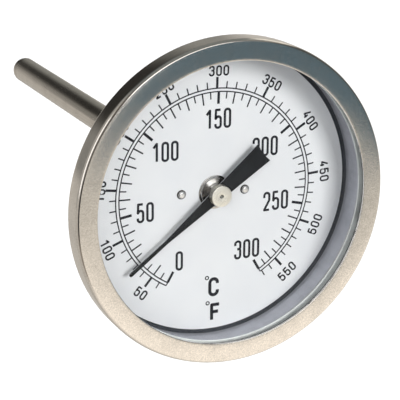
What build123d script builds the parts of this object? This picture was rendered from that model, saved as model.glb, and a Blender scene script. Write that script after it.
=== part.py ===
"""Bimetal dial thermometer with a centre back stem.

Frame, in millimetres: the origin is on the stem's axis, at the face of the hex where the pipe
thread begins. +Y runs down the stem towards its tip, the dial faces -Y, and +Z is 12 o'clock.
"""

import os
from math import cos, radians, sin

from build123d import *

# ---------------------------------------------------------------- driving dimensions
CASE_OUTER_R = 37.05  # straight wall of the drawn case
CASE_SHEET = 0.5
CASE_CORNER_R = 4.0  # outside radius between wall and back
CASE_FLANGE_R = 39.2
CASE_FLANGE_CORNER_R = 0.8

BEZEL_OUTER_R = 40.05
BEZEL_SHEET = 0.7
BEZEL_LIP_R = 34.9  # the opening over the glass
BEZEL_FRONT_CORNER_R = 1.2
BEZEL_BACK_CORNER_R = 0.8
CRIMP_INNER_R = 37.9  # how far the bezel is rolled in behind the case flange

GLASS_THICKNESS = 2.0
GLASS_EDGE_GAP = 0.25  # between the glass and the bezel wall
GASKET_THICKNESS = 0.45
GASKET_INNER_R = 35.05
GASKET_OUTER_R = 38.8
GLASS_CHAMFER = 0.2
SUPPORT_INNER_R = 35.2
SUPPORT_SHEET = 0.6
SUPPORT_CORNER_R = 0.8

DIAL_R = 35.55
DIAL_THICKNESS = 0.4
DIAL_SCREW_PLACES = ((-8.85, 0.4), (8.1, -0.25))  # (across, up)
DIAL_SCREW_R = 0.6
DIAL_SCREW_HEAD_R = 0.9
DIAL_SCREW_HEAD_HEIGHT = 0.5
DIAL_SCREW_DOME_R = 0.4
DIAL_SCREW_TIP_GAP = 0.4  # short of the case floor
DIAL_WASHER_R = 1.15
DIAL_WASHER_THICKNESS = 0.25
DIAL_POST_R = 1.4

BUSHING_FLANGE_R = 4.25
BUSHING_FLANGE_THICKNESS = 0.25
BUSHING_DOME_R = 3.7
BUSHING_DOME_HEIGHT = 1.3
BUSHING_DOME_CURVE_R = 2.45
BUSHING_TOP_R = 1.9
BUSHING_NECK_R = 2.25
BUSHING_LENGTH = 6.0  # behind the dial face

SHAFT_R = 0.75
SHAFT_CHAMFER = 0.15
SHAFT_END_R = 0.45  # turned down where it meets the hub's face
SHAFT_END_LENGTH = 0.5
SHAFT_END_DEPTH = 0.2  # behind the hub's face
RUNNING_GAP = 0.05
BEARING_R = 1.5
BEARING_LENGTH = 3.6

HUB_R = 2.65
HUB_LENGTH = 1.9
HUB_CHAMFER = 0.15
HUB_GROOVE = 0.15  # depth and width
HUB_GROOVE_PITCH = 0.6
HUB_BOSS_R = 1.5
HUB_BOSS_LENGTH = 0.3

BLADE_THICKNESS = 0.4
BLADE_TIP_LENGTH = 29.3  # from the axis to the rounded tip
BLADE_TIP_HALF_WIDTH = 0.5
BLADE_TAPER_START = 17.0  # the tip's parallel stretch ends here
BLADE_TAIL_LENGTH = 15.3
BLADE_TAIL_HALF_WIDTH = 2.8
BLADE_TAIL_NOTCH = 0.5
REST_READING_ANGLE = -127.3  # of the tip, clockwise from 12 o'clock, at 22 degrees C

HEX_ACROSS_FLATS = 22.2
HEX_LENGTH = 9.24
HEX_CHAMFER = 1.0  # radial
HEX_CHAMFER_LENGTH = 0.6
THREAD_R = 10.67  # half inch taper pipe thread, major radius at the hex
THREAD_PITCH = 1.814
THREAD_DEPTH = 1.25
THREAD_TURNS = 10
THREAD_TAPER = 1 / 32  # radius lost per unit of length
THREAD_ROOT_END = 0.15  # the ridge's corners, as shares of the pitch
THREAD_CREST_START = 0.5
THREAD_CREST_END = 0.65
THREAD_NOSE = 1.0  # plain end behind the last ridge
NECK_R = 4.6  # the fitting's threaded neck through the case back
NECK_DIAL_GAP = 0.4  # between the neck's end and the back of the dial
CLAMP_NUT_FLATS = 12.4
CLAMP_NUT_THICKNESS = 1.5
LOCK_WASHER_THICKNESS = 0.26
LOCK_WASHER_R = 6.6
CASE_GASKET_R = 10.8

STEM_R = 3.9
STEM_BORE_R = 3.2
STEM_SEAT_R = 3.6  # the end turned down to seat in the fitting
STEM_TIP_Y = 135.0  # from the face of the hex
PLUG_LENGTH = 4.0
PLUG_SPIGOT_LENGTH = 3.0
PLUG_END_R = 2.2
PIVOT_DEPTH = 2.0
PIVOT_END_GAP = 0.3

HELIX_R = 2.9
HELIX_STRIP_WIDTH = 1.7
HELIX_STRIP_THICKNESS = 0.25
HELIX_PITCH = 2.5
HELIX_TURNS = 18
HELIX_COLLAR_R = 3.0
HELIX_COLLAR_LENGTH = 2.5
HELIX_COLLAR_GAP = 0.3
ANCHOR_PLUG_GAP = 0.5
ANCHOR_LENGTH = 2.0
ANCHOR_INNER_R = 1.3
GUIDE_LENGTH = 3.0
GUIDE_STATIONS = (27.0, 66.0)

# ---------------------------------------------------------------- places along the axis
DIAL_Y = -13.0  # front face of the dial
DIAL_BACK_Y = DIAL_Y + DIAL_THICKNESS
CASE_BACK_Y = DIAL_Y + 3.26  # outside face
CASE_FLOOR_Y = CASE_BACK_Y - CASE_SHEET
HEX_FRONT_Y = -HEX_LENGTH
BEZEL_FRONT_Y = DIAL_Y - 12.05
BEZEL_BACK_Y = DIAL_Y - 5.75
BEZEL_INNER_R = BEZEL_OUTER_R - BEZEL_SHEET
FLANGE_BACK_Y = BEZEL_BACK_Y - BEZEL_SHEET
FLANGE_FRONT_Y = FLANGE_BACK_Y - CASE_SHEET
GLASS_R = BEZEL_INNER_R - GLASS_EDGE_GAP
LIP_BACK_Y = BEZEL_FRONT_Y + BEZEL_SHEET
GLASS_FRONT_Y = LIP_BACK_Y + GASKET_THICKNESS
GLASS_BACK_Y = GLASS_FRONT_Y + GLASS_THICKNESS
BLADE_FRONT_Y = DIAL_Y - 2.4
BLADE_BACK_Y = BLADE_FRONT_Y + BLADE_THICKNESS
HUB_FRONT_Y = BLADE_FRONT_Y - HUB_LENGTH
SHAFT_FRONT_Y = HUB_FRONT_Y + SHAFT_END_DEPTH
SHAFT_STEP_Y = SHAFT_FRONT_Y + SHAFT_END_LENGTH
BUSHING_TOP_Y = DIAL_Y - BUSHING_FLANGE_THICKNESS - BUSHING_DOME_HEIGHT
NECK_FRONT_Y = DIAL_BACK_Y + NECK_DIAL_GAP
CLAMP_NUT_BACK_Y = CASE_FLOOR_Y - LOCK_WASHER_THICKNESS
TUBE_FRONT_Y = DIAL_Y + BUSHING_LENGTH
TUBE_BACK_Y = STEM_TIP_Y - PLUG_LENGTH
THREAD_END_Y = THREAD_TURNS * THREAD_PITCH
NOSE_Y = THREAD_END_Y + THREAD_NOSE
PLUG_SPIGOT_Y = TUBE_BACK_Y - PLUG_SPIGOT_LENGTH
SHAFT_BACK_Y = PLUG_SPIGOT_Y + PIVOT_DEPTH - PIVOT_END_GAP
ANCHOR_BACK_Y = PLUG_SPIGOT_Y - ANCHOR_PLUG_GAP
ANCHOR_FRONT_Y = ANCHOR_BACK_Y - ANCHOR_LENGTH
HELIX_HEIGHT = HELIX_PITCH * HELIX_TURNS
HELIX_START_Y = ANCHOR_FRONT_Y - HELIX_STRIP_WIDTH / 2 - HELIX_HEIGHT
HELIX_COLLAR_BACK_Y = HELIX_START_Y - HELIX_STRIP_WIDTH / 2 - HELIX_COLLAR_GAP
HELIX_COLLAR_FRONT_Y = HELIX_COLLAR_BACK_Y - HELIX_COLLAR_LENGTH


def section(*corners):
    """A closed outline of (radius, y) corners, to be revolved about the stem's axis."""
    with BuildSketch(Plane.XY, mode=Mode.PRIVATE) as outline:
        with BuildLine():
            Polyline(*corners, close=True)
        make_face()
    return outline.sketch


def sheet_section(corners, radii, thickness, side):
    """The outline of bent sheet: one face runs through the corners, bent to the radii."""
    with BuildSketch(Plane.XY, mode=Mode.PRIVATE) as outline:
        with BuildLine():
            FilletPolyline(*corners, radius=radii)
            offset(amount=thickness, side=side)
        make_face()
    return outline.sketch


def ring(inner_r, outer_r, front_y, back_y):
    """The outline of a plain ring or, from radius 0, of a disc."""
    return section((inner_r, front_y), (outer_r, front_y), (outer_r, back_y), (inner_r, back_y))


def facing_dial(y, clockwise=0):
    """A plane across the axis at y, seen from the front, with its local Y at a clock angle."""
    turn = radians(clockwise)
    return Plane(origin=(0, y, 0), x_dir=(cos(turn), 0, -sin(turn)), z_dir=(0, -1, 0))


# ---------------------------------------------------------------- case, bezel and glass
with BuildPart() as case_cup:
    revolve(
        sheet_section(
            [
                (NECK_R, CASE_BACK_Y),
                (CASE_OUTER_R, CASE_BACK_Y),
                (CASE_OUTER_R, FLANGE_BACK_Y),
                (CASE_FLANGE_R, FLANGE_BACK_Y),
            ],
            [CASE_CORNER_R, CASE_FLANGE_CORNER_R],
            CASE_SHEET,
            Side.RIGHT,
        ),
        axis=Axis.Y,
    )

with BuildPart() as bezel_ring:
    revolve(
        sheet_section(
            [
                (CRIMP_INNER_R, BEZEL_BACK_Y),
                (BEZEL_OUTER_R, BEZEL_BACK_Y),
                (BEZEL_OUTER_R, BEZEL_FRONT_Y),
                (BEZEL_LIP_R, BEZEL_FRONT_Y),
            ],
            [BEZEL_BACK_CORNER_R, BEZEL_FRONT_CORNER_R],
            BEZEL_SHEET,
            Side.RIGHT,
        ),
        axis=Axis.Y,
    )

with BuildPart() as lens:
    revolve(ring(0, GLASS_R, GLASS_FRONT_Y, GLASS_BACK_Y), axis=Axis.Y)
    chamfer(lens.edges().filter_by(GeomType.CIRCLE), length=GLASS_CHAMFER)

with BuildPart() as lens_gasket:
    revolve(ring(GASKET_INNER_R, GASKET_OUTER_R, LIP_BACK_Y, GLASS_FRONT_Y), axis=Axis.Y)

with BuildPart() as lens_support_ring:
    revolve(
        sheet_section(
            [
                (SUPPORT_INNER_R, GLASS_BACK_Y),
                (GLASS_R, GLASS_BACK_Y),
                (GLASS_R, FLANGE_FRONT_Y),
            ],
            [SUPPORT_CORNER_R],
            SUPPORT_SHEET,
            Side.LEFT,
        ),
        axis=Axis.Y,
    )

# ---------------------------------------------------------------- dial and its fasteners
with BuildPart() as dial_plate:
    with BuildSketch(facing_dial(DIAL_BACK_Y)):
        Circle(DIAL_R)
        Circle(BUSHING_NECK_R, mode=Mode.SUBTRACT)
        with Locations(*DIAL_SCREW_PLACES):
            Circle(DIAL_SCREW_R, mode=Mode.SUBTRACT)
    extrude(amount=DIAL_THICKNESS)

SCREW_SEAT_Y = DIAL_Y - DIAL_WASHER_THICKNESS
SCREW_TIP_Y = CASE_FLOOR_Y - DIAL_SCREW_TIP_GAP

with BuildPart() as dial_washers:
    with BuildSketch(facing_dial(DIAL_Y)):
        with Locations(*DIAL_SCREW_PLACES):
            Circle(DIAL_WASHER_R)
            Circle(DIAL_SCREW_R, mode=Mode.SUBTRACT)
    extrude(amount=DIAL_WASHER_THICKNESS)

with BuildPart() as dial_screws:
    with BuildSketch(facing_dial(SCREW_TIP_Y)):
        with Locations(*DIAL_SCREW_PLACES):
            Circle(DIAL_SCREW_R)
    extrude(amount=SCREW_TIP_Y - SCREW_SEAT_Y)
    with BuildSketch(facing_dial(SCREW_SEAT_Y)):
        with Locations(*DIAL_SCREW_PLACES):
            Circle(DIAL_SCREW_HEAD_R)
    extrude(amount=DIAL_SCREW_HEAD_HEIGHT)
    fillet(dial_screws.edges().group_by(Axis.Y)[0], radius=DIAL_SCREW_DOME_R)

with BuildPart() as dial_posts:
    with BuildSketch(facing_dial(CASE_FLOOR_Y)):
        with Locations(*DIAL_SCREW_PLACES):
            Circle(DIAL_POST_R)
            Circle(DIAL_SCREW_R, mode=Mode.SUBTRACT)
    extrude(amount=CASE_FLOOR_Y - DIAL_BACK_Y)

# ---------------------------------------------------------------- centre bushing and fitting
with BuildPart() as centre_bushing:
    with BuildSketch(Plane.XY) as bushing_outline:
        with BuildLine():
            flange_edge = Polyline(
                (BEARING_R, BUSHING_TOP_Y),
                (BUSHING_TOP_R, BUSHING_TOP_Y),
            )
            dome = RadiusArc(
                flange_edge @ 1,
                (BUSHING_DOME_R, DIAL_Y - BUSHING_FLANGE_THICKNESS),
                -BUSHING_DOME_CURVE_R,
            )
            Polyline(
                dome @ 1,
                (BUSHING_FLANGE_R, DIAL_Y - BUSHING_FLANGE_THICKNESS),
                (BUSHING_FLANGE_R, DIAL_Y),
                (BUSHING_NECK_R, DIAL_Y),
                (BUSHING_NECK_R, TUBE_FRONT_Y),
                (BEARING_R, TUBE_FRONT_Y),
                flange_edge @ 0,
            )
        make_face()
    revolve(axis=Axis.Y)

with BuildPart() as front_bearing:
    revolve(
        ring(SHAFT_R + RUNNING_GAP, BEARING_R, BUSHING_TOP_Y, BUSHING_TOP_Y + BEARING_LENGTH),
        axis=Axis.Y,
    )


def thread_outline(front_y):
    """Corners of a taper pipe thread's ridges, one ridge to a pitch, from the hex backwards."""
    corners = []
    for turn in range(THREAD_TURNS):
        y = front_y + turn * THREAD_PITCH
        crest_r = THREAD_R - turn * THREAD_PITCH * THREAD_TAPER
        root_r = crest_r - THREAD_DEPTH
        corners.append((root_r, y))
        corners.append((root_r, y + THREAD_ROOT_END * THREAD_PITCH))
        corners.append((crest_r, y + THREAD_CREST_START * THREAD_PITCH))
        corners.append((crest_r, y + THREAD_CREST_END * THREAD_PITCH))
    return corners


with BuildPart() as process_fitting:
    with BuildSketch(facing_dial(0)):
        RegularPolygon(HEX_ACROSS_FLATS / 2, 6, major_radius=False)
    extrude(amount=HEX_LENGTH)
    hex_corner_r = HEX_ACROSS_FLATS / 3**0.5
    revolve(
        section(
            (hex_corner_r - HEX_CHAMFER, HEX_FRONT_Y),
            (hex_corner_r, HEX_FRONT_Y),
            (hex_corner_r, HEX_FRONT_Y + HEX_CHAMFER_LENGTH),
        ),
        axis=Axis.Y,
        mode=Mode.SUBTRACT,
    )
    revolve(ring(0, NECK_R, NECK_FRONT_Y, HEX_FRONT_Y), axis=Axis.Y)
    ridges = thread_outline(0)
    end_r = ridges[-1][0] - THREAD_DEPTH
    revolve(
        section(*ridges, (end_r, THREAD_END_Y), (end_r, NOSE_Y), (0, NOSE_Y), (0, 0)),
        axis=Axis.Y,
    )
    revolve(ring(0, BUSHING_NECK_R, NECK_FRONT_Y, TUBE_FRONT_Y), axis=Axis.Y, mode=Mode.SUBTRACT)
    revolve(ring(0, STEM_SEAT_R, TUBE_FRONT_Y, NOSE_Y), axis=Axis.Y, mode=Mode.SUBTRACT)

with BuildPart() as case_gasket:
    revolve(ring(NECK_R, CASE_GASKET_R, CASE_BACK_Y, HEX_FRONT_Y), axis=Axis.Y)

with BuildPart() as lock_washer:
    revolve(ring(NECK_R, LOCK_WASHER_R, CLAMP_NUT_BACK_Y, CASE_FLOOR_Y), axis=Axis.Y)

with BuildPart() as clamp_nut:
    with BuildSketch(facing_dial(CLAMP_NUT_BACK_Y)):
        RegularPolygon(CLAMP_NUT_FLATS / 2, 6, major_radius=False, rotation=30)
        Circle(NECK_R, mode=Mode.SUBTRACT)
    extrude(amount=CLAMP_NUT_THICKNESS)

# ---------------------------------------------------------------- stem and what is inside it
with BuildPart() as stem_tube:
    revolve(ring(STEM_BORE_R, STEM_SEAT_R, TUBE_FRONT_Y, NOSE_Y), axis=Axis.Y)
    revolve(ring(STEM_BORE_R, STEM_R, NOSE_Y, TUBE_BACK_Y), axis=Axis.Y)

with BuildPart() as stem_plug:
    revolve(ring(0, STEM_R, TUBE_BACK_Y, STEM_TIP_Y), axis=Axis.Y)
    fillet(stem_plug.edges().group_by(Axis.Y)[-1], radius=PLUG_END_R)
    revolve(ring(0, STEM_BORE_R, PLUG_SPIGOT_Y, TUBE_BACK_Y), axis=Axis.Y)
    revolve(
        ring(0, SHAFT_R + RUNNING_GAP, PLUG_SPIGOT_Y, PLUG_SPIGOT_Y + PIVOT_DEPTH),
        axis=Axis.Y,
        mode=Mode.SUBTRACT,
    )

with BuildPart() as shaft_guides:
    for station in GUIDE_STATIONS:
        revolve(
            ring(SHAFT_R + RUNNING_GAP, STEM_BORE_R, station, station + GUIDE_LENGTH),
            axis=Axis.Y,
        )

with BuildPart() as helix_anchor:
    revolve(ring(ANCHOR_INNER_R, STEM_BORE_R, ANCHOR_FRONT_Y, ANCHOR_BACK_Y), axis=Axis.Y)

with BuildPart() as bimetal_helix:
    with BuildLine():
        coil = Helix(
            pitch=HELIX_PITCH,
            height=HELIX_HEIGHT,
            radius=HELIX_R,
            center=(0, HELIX_START_Y, 0),
            direction=(0, 1, 0),
        )
    with BuildSketch(Plane(origin=coil @ 0, x_dir=(0, 1, 0), z_dir=coil % 0)):
        Rectangle(HELIX_STRIP_WIDTH, HELIX_STRIP_THICKNESS)
    sweep(path=coil, is_frenet=True)

# ---------------------------------------------------------------- the pointer and its shaft
with BuildPart() as helix_collar:
    revolve(
        ring(SHAFT_R, HELIX_COLLAR_R, HELIX_COLLAR_FRONT_Y, HELIX_COLLAR_BACK_Y),
        axis=Axis.Y,
    )

with BuildPart() as pointer_shaft:
    revolve(ring(0, SHAFT_R, SHAFT_STEP_Y, SHAFT_BACK_Y), axis=Axis.Y)
    back_edge = pointer_shaft.edges().filter_by(GeomType.CIRCLE).sort_by(Axis.Y)[-1]
    chamfer(back_edge, length=SHAFT_CHAMFER)
    revolve(ring(0, SHAFT_END_R, SHAFT_FRONT_Y, SHAFT_STEP_Y), axis=Axis.Y)

with BuildPart() as pointer_hub:
    revolve(ring(SHAFT_END_R, HUB_R, HUB_FRONT_Y, SHAFT_STEP_Y), axis=Axis.Y)
    revolve(ring(SHAFT_R, HUB_R, SHAFT_STEP_Y, BLADE_FRONT_Y), axis=Axis.Y)
    face_edges = pointer_hub.edges().filter_by(GeomType.CIRCLE).group_by(Axis.Y)[0]
    chamfer(face_edges.sort_by(SortBy.RADIUS)[-1], length=HUB_CHAMFER)
    for groove in (1, 2):
        groove_y = HUB_FRONT_Y + groove * HUB_GROOVE_PITCH
        revolve(
            ring(HUB_R - HUB_GROOVE, HUB_R, groove_y, groove_y + HUB_GROOVE),
            axis=Axis.Y,
            mode=Mode.SUBTRACT,
        )
    revolve(ring(SHAFT_R, HUB_BOSS_R, BLADE_FRONT_Y, BLADE_BACK_Y + HUB_BOSS_LENGTH), axis=Axis.Y)

with BuildPart() as pointer_blade:
    with BuildSketch(facing_dial(BLADE_BACK_Y, REST_READING_ANGLE)):
        with BuildLine():
            Polyline(
                (BLADE_TIP_HALF_WIDTH, BLADE_TIP_LENGTH - BLADE_TIP_HALF_WIDTH),
                (BLADE_TIP_HALF_WIDTH, BLADE_TAPER_START),
                (BLADE_TAIL_HALF_WIDTH, -BLADE_TAIL_LENGTH),
                (0, BLADE_TAIL_NOTCH - BLADE_TAIL_LENGTH),
                (-BLADE_TAIL_HALF_WIDTH, -BLADE_TAIL_LENGTH),
                (-BLADE_TIP_HALF_WIDTH, BLADE_TAPER_START),
                (-BLADE_TIP_HALF_WIDTH, BLADE_TIP_LENGTH - BLADE_TIP_HALF_WIDTH),
            )
            ThreePointArc(
                (-BLADE_TIP_HALF_WIDTH, BLADE_TIP_LENGTH - BLADE_TIP_HALF_WIDTH),
                (0, BLADE_TIP_LENGTH),
                (BLADE_TIP_HALF_WIDTH, BLADE_TIP_LENGTH - BLADE_TIP_HALF_WIDTH),
            )
        make_face()
        Circle(HUB_BOSS_R, mode=Mode.SUBTRACT)
    extrude(amount=BLADE_THICKNESS)

# ---------------------------------------------------------------- one STEP file for each piece
PIECES = {
    "case_cup": case_cup,
    "bezel_ring": bezel_ring,
    "lens": lens,
    "lens_gasket": lens_gasket,
    "lens_support_ring": lens_support_ring,
    "dial_plate": dial_plate,
    "dial_washers": dial_washers,
    "dial_screws": dial_screws,
    "dial_posts": dial_posts,
    "centre_bushing": centre_bushing,
    "front_bearing": front_bearing,
    "process_fitting": process_fitting,
    "case_gasket": case_gasket,
    "lock_washer": lock_washer,
    "clamp_nut": clamp_nut,
    "stem_tube": stem_tube,
    "stem_plug": stem_plug,
    "shaft_guides": shaft_guides,
    "helix_anchor": helix_anchor,
    "bimetal_helix": bimetal_helix,
    "helix_collar": helix_collar,
    "pointer_shaft": pointer_shaft,
    "pointer_hub": pointer_hub,
    "pointer_blade": pointer_blade,
}

os.makedirs("parts", exist_ok=True)
for name, piece in PIECES.items():
    piece.part.label = name
    export_step(piece.part, f"parts/{name}.step")
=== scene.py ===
"""Looks for the bimetal dial thermometer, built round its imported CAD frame.

Row frame: +Y runs down the stem, the dial faces -Y, +Z is 12 o'clock. Profiles, print and relief
are worked out in millimetres and made in metres.
"""

from math import acos, atan2, ceil, cos, hypot, pi, radians, sin, tan

import bmesh
import bpy
from mathutils import Matrix, Vector


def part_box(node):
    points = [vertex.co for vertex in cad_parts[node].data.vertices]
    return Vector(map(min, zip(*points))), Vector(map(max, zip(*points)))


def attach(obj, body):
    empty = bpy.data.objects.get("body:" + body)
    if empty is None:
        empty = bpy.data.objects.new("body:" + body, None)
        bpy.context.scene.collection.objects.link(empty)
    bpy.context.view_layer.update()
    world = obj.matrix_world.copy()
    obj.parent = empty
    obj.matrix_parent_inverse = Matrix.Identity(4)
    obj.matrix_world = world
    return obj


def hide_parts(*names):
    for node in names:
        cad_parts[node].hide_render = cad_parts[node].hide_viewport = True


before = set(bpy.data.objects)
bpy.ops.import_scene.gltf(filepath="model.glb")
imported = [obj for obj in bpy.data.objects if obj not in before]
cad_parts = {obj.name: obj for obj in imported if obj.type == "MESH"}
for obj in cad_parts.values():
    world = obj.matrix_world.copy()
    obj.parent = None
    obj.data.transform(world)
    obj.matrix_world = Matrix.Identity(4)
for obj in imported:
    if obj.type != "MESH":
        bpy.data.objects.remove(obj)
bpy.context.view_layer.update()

MM = 0.001
FULL_TURN = 2 * pi
SEGMENTS = 288  # round a large turned piece
MEDIUM_SEGMENTS = 144
SMALL_SEGMENTS = 96
SHAFT_SEGMENTS = 48
ARC_STEP = 12  # degrees between the points of a rounded corner
FINE_ARC_STEP = 7
SHARP = 35  # edges that turn more than this many degrees are shaded sharp
NEARLY_STRAIGHT = 0.01  # radians off a straight line, below which a corner isn't rounded
ON_AXIS = 1e-6  # a radius below this is on the axis
MITRE_LIMIT = 0.5  # keeps a strip's mitred corner within twice its width

# Radii of broken edges, in millimetres.
CRISP_EDGE = 0.05
EDGE = 0.1
SOFT_EDGE = 0.2


# ---------------------------------------------------------------- places from the CAD frame
def front(node):
    """The node's foremost y, in millimetres."""
    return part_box(node)[0].y / MM


def back(node):
    """The node's rearmost y, in millimetres."""
    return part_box(node)[1].y / MM


def radius(node):
    """The node's outside radius, in millimetres."""
    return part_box(node)[1].z / MM


DIAL_Y = front("dial_plate")


# ---------------------------------------------------------------- mesh helpers
def link_mesh(name, bm, sharp=SHARP):
    """Makes an object from the bmesh, smooth except across edges sharper than the angle."""
    bmesh.ops.recalc_face_normals(bm, faces=bm.faces)
    mesh = bpy.data.meshes.new(name)
    bm.to_mesh(mesh)
    bm.free()
    mesh.shade_smooth()
    mesh.set_sharp_from_angle(angle=radians(sharp))
    piece = bpy.data.objects.new(name, mesh)
    bpy.context.scene.collection.objects.link(piece)
    return piece


def rounded(corners, closed=True, step=ARC_STEP):
    """Points along the (a, b, radius) corners, each corner eased into an arc of its radius.

    A corner with no radius stays sharp. step is the most that an arc turns between points.
    """
    points = []
    last = len(corners) - 1
    for i, corner in enumerate(corners):
        here = Vector(corner[:2])
        size = corner[2] if len(corner) > 2 else 0
        if size <= 0 or (not closed and i in (0, last)):
            points.append(here)
            continue
        to_prev = (Vector(corners[i - 1][:2]) - here).normalized()
        to_next = (Vector(corners[(i + 1) % len(corners)][:2]) - here).normalized()
        half = acos(max(-1, min(1, to_prev.dot(to_next)))) / 2
        if half > pi / 2 - NEARLY_STRAIGHT:
            points.append(here)
            continue
        middle = here + (to_prev + to_next).normalized() * (size / sin(half))
        start = here + to_prev * (size / tan(half))
        a0 = atan2(start.y - middle.y, start.x - middle.x)
        end = here + to_next * (size / tan(half))
        a1 = atan2(end.y - middle.y, end.x - middle.x)
        turn = (a1 - a0 + pi) % FULL_TURN - pi
        count = max(2, ceil(abs(turn) / radians(step)))
        for k in range(count + 1):
            a = a0 + turn * k / count
            points.append(middle + Vector((cos(a), sin(a))) * size)
    return points


def turn_about_stem(name, outline_at, angles, centre=(0, 0), sharp=SHARP):
    """A closed turned piece. outline_at(angle) gives its (radius, y) loop at a clock angle."""
    bm = bmesh.new()
    columns = []
    poles = {}
    for a in angles:
        column = []
        for i, (r, y) in enumerate(outline_at(a)):
            if r < ON_AXIS:
                if i not in poles:
                    poles[i] = bm.verts.new((centre[0] * MM, y * MM, centre[1] * MM))
                column.append(poles[i])
                continue
            x = centre[0] + r * sin(a)
            z = centre[1] + r * cos(a)
            column.append(bm.verts.new((x * MM, y * MM, z * MM)))
        columns.append(column)
    size = len(columns[0])
    for j, column in enumerate(columns):
        following = columns[(j + 1) % len(columns)]
        for i in range(size):
            k = (i + 1) % size
            corners = [column[i], column[k], following[k], following[i]]
            loop = [v for n, v in enumerate(corners) if v is not corners[n - 1]]
            if len(set(loop)) > 2:
                bm.faces.new(loop)
    return link_mesh(name, bm, sharp)


def lathe(name, corners, segments=SEGMENTS, centre=(0, 0), sharp=SHARP, step=ARC_STEP):
    """A turned piece whose (radius, y, corner radius) outline is the same all the way round."""
    outline = rounded(corners, step=step)
    angles = [FULL_TURN * j / segments for j in range(segments)]
    return turn_about_stem(name, lambda a: outline, angles, centre, sharp)


def ribbon(bm, path, width, y_front, y_back, closed=False):
    """Adds a flat strip that follows a path of (x, z) points on the dial, closed all round."""
    count = len(path)
    sides = []
    for i, here in enumerate(path):
        before = path[i - 1] if closed or i > 0 else None
        after = path[(i + 1) % count] if closed or i < count - 1 else None
        into = (here - before).normalized() if before is not None else None
        out = (after - here).normalized() if after is not None else None
        along = (into or out) + (out or into)
        along.normalize()
        across = Vector((-along.y, along.x))
        lean = max(MITRE_LIMIT, along.dot(out or into))
        half = across * (width / 2 / lean)
        sides.append((here + half, here - half))
    rows = []
    for left, right in sides:
        row = []
        for p, y in ((left, y_front), (right, y_front), (right, y_back), (left, y_back)):
            row.append(bm.verts.new((p.x * MM, y * MM, p.y * MM)))
        rows.append(row)
    spans = count if closed else count - 1
    for i in range(spans):
        a, b = rows[i], rows[(i + 1) % count]
        for k in range(4):
            m = (k + 1) % 4
            bm.faces.new((a[k], a[m], b[m], b[k]))
    if not closed:
        bm.faces.new(rows[0])
        bm.faces.new(rows[-1])


# ---------------------------------------------------------------- shader helpers
def plug(tree, socket, value):
    """Sets a socket to a value, or links it to another node's socket."""
    if isinstance(value, bpy.types.NodeSocket):
        tree.links.new(value, socket)
    elif isinstance(value, tuple) and len(value) == 3 and socket.type == "RGBA":
        socket.default_value = (*value, 1)
    else:
        socket.default_value = value


def add(tree, kind, inputs=None, **settings):
    """Adds a shader node, with its settings and its inputs by name or number."""
    made = tree.nodes.new("ShaderNode" + kind)
    for key, value in settings.items():
        setattr(made, key, value)
    for key, value in (inputs or {}).items():
        plug(tree, made.inputs[key], value)
    return made


def maths(tree, operation, *values):
    inputs = dict(enumerate(values))
    return add(tree, "Math", inputs, operation=operation).outputs[0]


def remap(tree, value, low, high, to_low=0.0, to_high=1.0, smooth=False):
    """The value taken from low..high to to_low..to_high, clamped."""
    inputs = {0: value, 1: low, 2: high, 3: to_low, 4: to_high}
    kind = "SMOOTHSTEP" if smooth else "LINEAR"
    return add(tree, "MapRange", inputs, interpolation_type=kind).outputs[0]


# A Mix node's sockets for colours.
MIX_FIRST = 6
MIX_SECOND = 7
MIX_RESULT = 2


def blend_colours(tree, factor, first, second):
    inputs = {0: factor, MIX_FIRST: first, MIX_SECOND: second}
    return add(tree, "Mix", inputs, data_type="RGBA").outputs[MIX_RESULT]


def noise(tree, vector, scale, detail, rough, w=None):
    """Noise in three dimensions or, with w, in four."""
    inputs = {"Vector": vector, "Scale": scale, "Detail": detail, "Roughness": rough}
    if w is None:
        return add(tree, "TexNoise", inputs, noise_dimensions="3D").outputs[0]
    inputs["W"] = w
    return add(tree, "TexNoise", inputs, noise_dimensions="4D").outputs[0]


BUMP_DISTANCE = 0.00002  # metres


def bump(tree, height, strength):
    inputs = {"Height": height, "Strength": strength, "Distance": BUMP_DISTANCE}
    return add(tree, "Bump", inputs).outputs[0]


OFF_AXIS = 1e-9  # keeps the distance from the axis above zero
TURNED_ROUND = 3.0  # how fast turned marks change round the piece
DRAWN_ALONG = 25.0  # how fast drawn marks change along the piece, to the metre


class Place:
    """Coordinates on the object: along the axis, round it, and out from it, in metres."""

    def __init__(self, tree):
        self.tree = tree
        self.point = add(tree, "TexCoord").outputs["Object"]
        x, self.y, z = add(tree, "SeparateXYZ", {0: self.point}).outputs
        both = maths(tree, "ADD", maths(tree, "MULTIPLY", x, x), maths(tree, "MULTIPLY", z, z))
        self.r = maths(tree, "SQRT", maths(tree, "ADD", both, OFF_AXIS))
        self.sine = maths(tree, "DIVIDE", x, self.r)
        self.cosine = maths(tree, "DIVIDE", z, self.r)

    def _vector(self, round_, out):
        """Direction round the axis times round_, with the radius times out between."""
        parts = {
            0: maths(self.tree, "MULTIPLY", self.sine, round_),
            1: maths(self.tree, "MULTIPLY", self.r, out),
            2: maths(self.tree, "MULTIPLY", self.cosine, round_),
        }
        return add(self.tree, "CombineXYZ", parts).outputs[0]

    def turned(self, per_metre):
        """Noise drawn out round the axis, as a lathe tool or a polishing belt leaves it."""
        along = maths(self.tree, "MULTIPLY", self.y, per_metre)
        return noise(self.tree, self._vector(TURNED_ROUND, per_metre), 1.0, 2.0, 0.6, along)

    def drawn(self, radius_mm, per_metre):
        """Noise drawn out along the axis, as grinding or drawing leaves it."""
        w = maths(self.tree, "MULTIPLY", self.y, DRAWN_ALONG)
        vector = self._vector(radius_mm * MM * per_metre, DRAWN_ALONG)
        return noise(self.tree, vector, 1.0, 2.0, 0.6, w)

    def grain(self, per_metre, detail, rough):
        """Noise that is the same in every direction."""
        return noise(self.tree, self.point, per_metre, detail, rough)


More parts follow.
